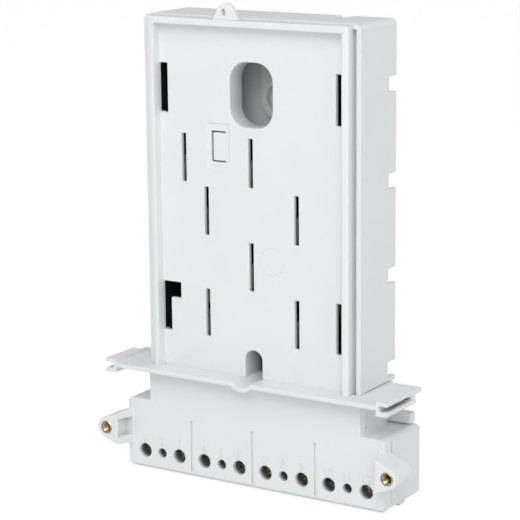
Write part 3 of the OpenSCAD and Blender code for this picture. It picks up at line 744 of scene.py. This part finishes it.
def terminal_numbers():
    """Raised numbers 1 to 12 above the terminal holes, as one mesh."""
    face = block_front()
    upright = Matrix.Rotation(math.radians(90), 4, "X")
    parts = []
    for number in range(1, 13):
        low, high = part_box(f"screw_{number}")
        base = Matrix.Translation(((low.x + high.x) / 2, face, NUMBER_BASE))
        parts.append((number_mesh(number), base @ upright))
    obj = new_object("terminal_numbers", placed(parts, "terminal_numbers"))
    bm = bmesh.new()
    bm.from_mesh(obj.data)
    bmesh.ops.remove_doubles(bm, verts=bm.verts, dist=0.003 * MM)
    bm.to_mesh(obj.data)
    bm.free()
    # Darker colour of the numbers: painted shade round their relief
    finish_piece(obj, "terminal_block_front", material="numbers_painted_shade")


# ---------- build ----------

for node in ("rear_housing", "partition_plate", "terminal_block_front", "terminal_block_rear",
             "latch_tongue"):
    soften(node)
soften("carrier_panel", foot_drop=PANEL_JOINT)
for node in NODES:
    if node.startswith(("busbar", "contact", "cage", "jaw_springs")):
        soften(node, METAL_EDGE, METAL_SEGMENTS)
for number in MAIN_SCREWS:
    terminal_screw(number, MAIN_RADIUS, MAIN_PITCH, MAIN_DRIVE)
for number in AUX_SCREWS:
    terminal_screw(number, AUX_RADIUS, AUX_PITCH, AUX_DRIVE)
for node in ("carrier_screws", "conductor_screws", "block_screws"):
    tapping_screws(node)
for node in ("insert_left", "insert_right"):
    threaded_insert(node)
terminal_numbers()


# ---------- scene ----------

def direction(azimuth, elevation):
    """Unit vector from the object, at angles in degrees; azimuth 0 is straight in front."""
    turn = math.radians(azimuth)
    rise = math.radians(elevation)
    return Vector((math.sin(turn) * math.cos(rise), -math.cos(turn) * math.cos(rise), math.sin(rise)))


def area_light(name, azimuth, elevation, size, power):
    """A square soft light that faces the object."""
    data = bpy.data.lights.new(name, "AREA")
    data.shape = "SQUARE"
    data.size = size
    data.energy = power
    obj = new_object(name, data)
    away = direction(azimuth, elevation)
    obj.location = Vector(LIGHT_TARGET) + away * LIGHT_DISTANCE
    obj.rotation_euler = away.to_track_quat("Z", "Y").to_euler()


def camera():
    """The camera, to the right of the object and a little above it."""
    roll = math.radians(CAMERA_ROLL)
    back = direction(CAMERA_AZIMUTH, CAMERA_ELEVATION)
    right = (-back).cross(Vector((0, 0, 1))).normalized()
    up = right.cross(-back)
    turned = math.cos(roll) * right + math.sin(roll) * up
    top = -math.sin(roll) * right + math.cos(roll) * up
    axes = Matrix((turned, top, back)).transposed().to_4x4()
    data = bpy.data.cameras.new("camera")
    data.lens = CAMERA_LENS
    data.sensor_width = 36
    data.clip_start = 0.01
    obj = new_object("camera", data)
    obj.matrix_world = Matrix.Translation(CAMERA_PLACE) @ axes
    bpy.context.scene.camera = obj


def seen_or_lit(tree, lit, seen):
    """One strength for lighting the object, another for what the camera sees."""
    path = tree.nodes.new("ShaderNodeLightPath")
    level = tree.nodes.new("ShaderNodeMapRange")
    level.inputs["To Min"].default_value = lit
    level.inputs["To Max"].default_value = seen
    tree.links.new(path.outputs["Is Camera Ray"], level.inputs["Value"])
    return level.outputs["Result"]


def floor():
    """A pale floor just under the block, lit a little from inside like a light table."""
    mesh = bpy.data.meshes.new("floor")
    level = cad_box[0][2] - FLOOR_GAP
    signs = ((-1, -1), (1, -1), (1, 1), (-1, 1))
    mesh.from_pydata([(x * FLOOR_HALF, y * FLOOR_HALF, level) for x, y in signs], [], [(0, 1, 2, 3)])
    obj = new_object("floor", mesh)
    mat, tree, shader, coords = new_material("floor")
    base = tint(tree, noise(tree, coords, 30), (0.35, 0.35, 0.35), (0.37, 0.37, 0.37))
    tree.links.new(base, shader.inputs["Base Color"])
    shader.inputs["Roughness"].default_value = 0.8
    shader.inputs["Specular IOR Level"].default_value = 0.1
    shader.inputs["Emission Color"].default_value = (1, 1, 1, 1)
    tree.links.new(seen_or_lit(tree, FLOOR_GLOW, FLOOR_SEEN), shader.inputs["Emission Strength"])
    mesh.materials.append(mat)


def world():
    """Even studio light; the camera sees it as a white backdrop."""
    data = bpy.data.worlds.new("studio")
    data.use_nodes = True
    tree = data.node_tree
    back = tree.nodes["Background"]
    back.inputs["Color"].default_value = (1, 1, 1, 1)
    tree.links.new(seen_or_lit(tree, AMBIENT, BACKDROP), back.inputs["Strength"])
    bpy.context.scene.world = data


camera()
floor()
world()
for name, azimuth, elevation, size, power in LIGHTS:
    area_light(name, azimuth, elevation, size, power)
bpy.context.scene.view_settings.view_transform = "Standard"
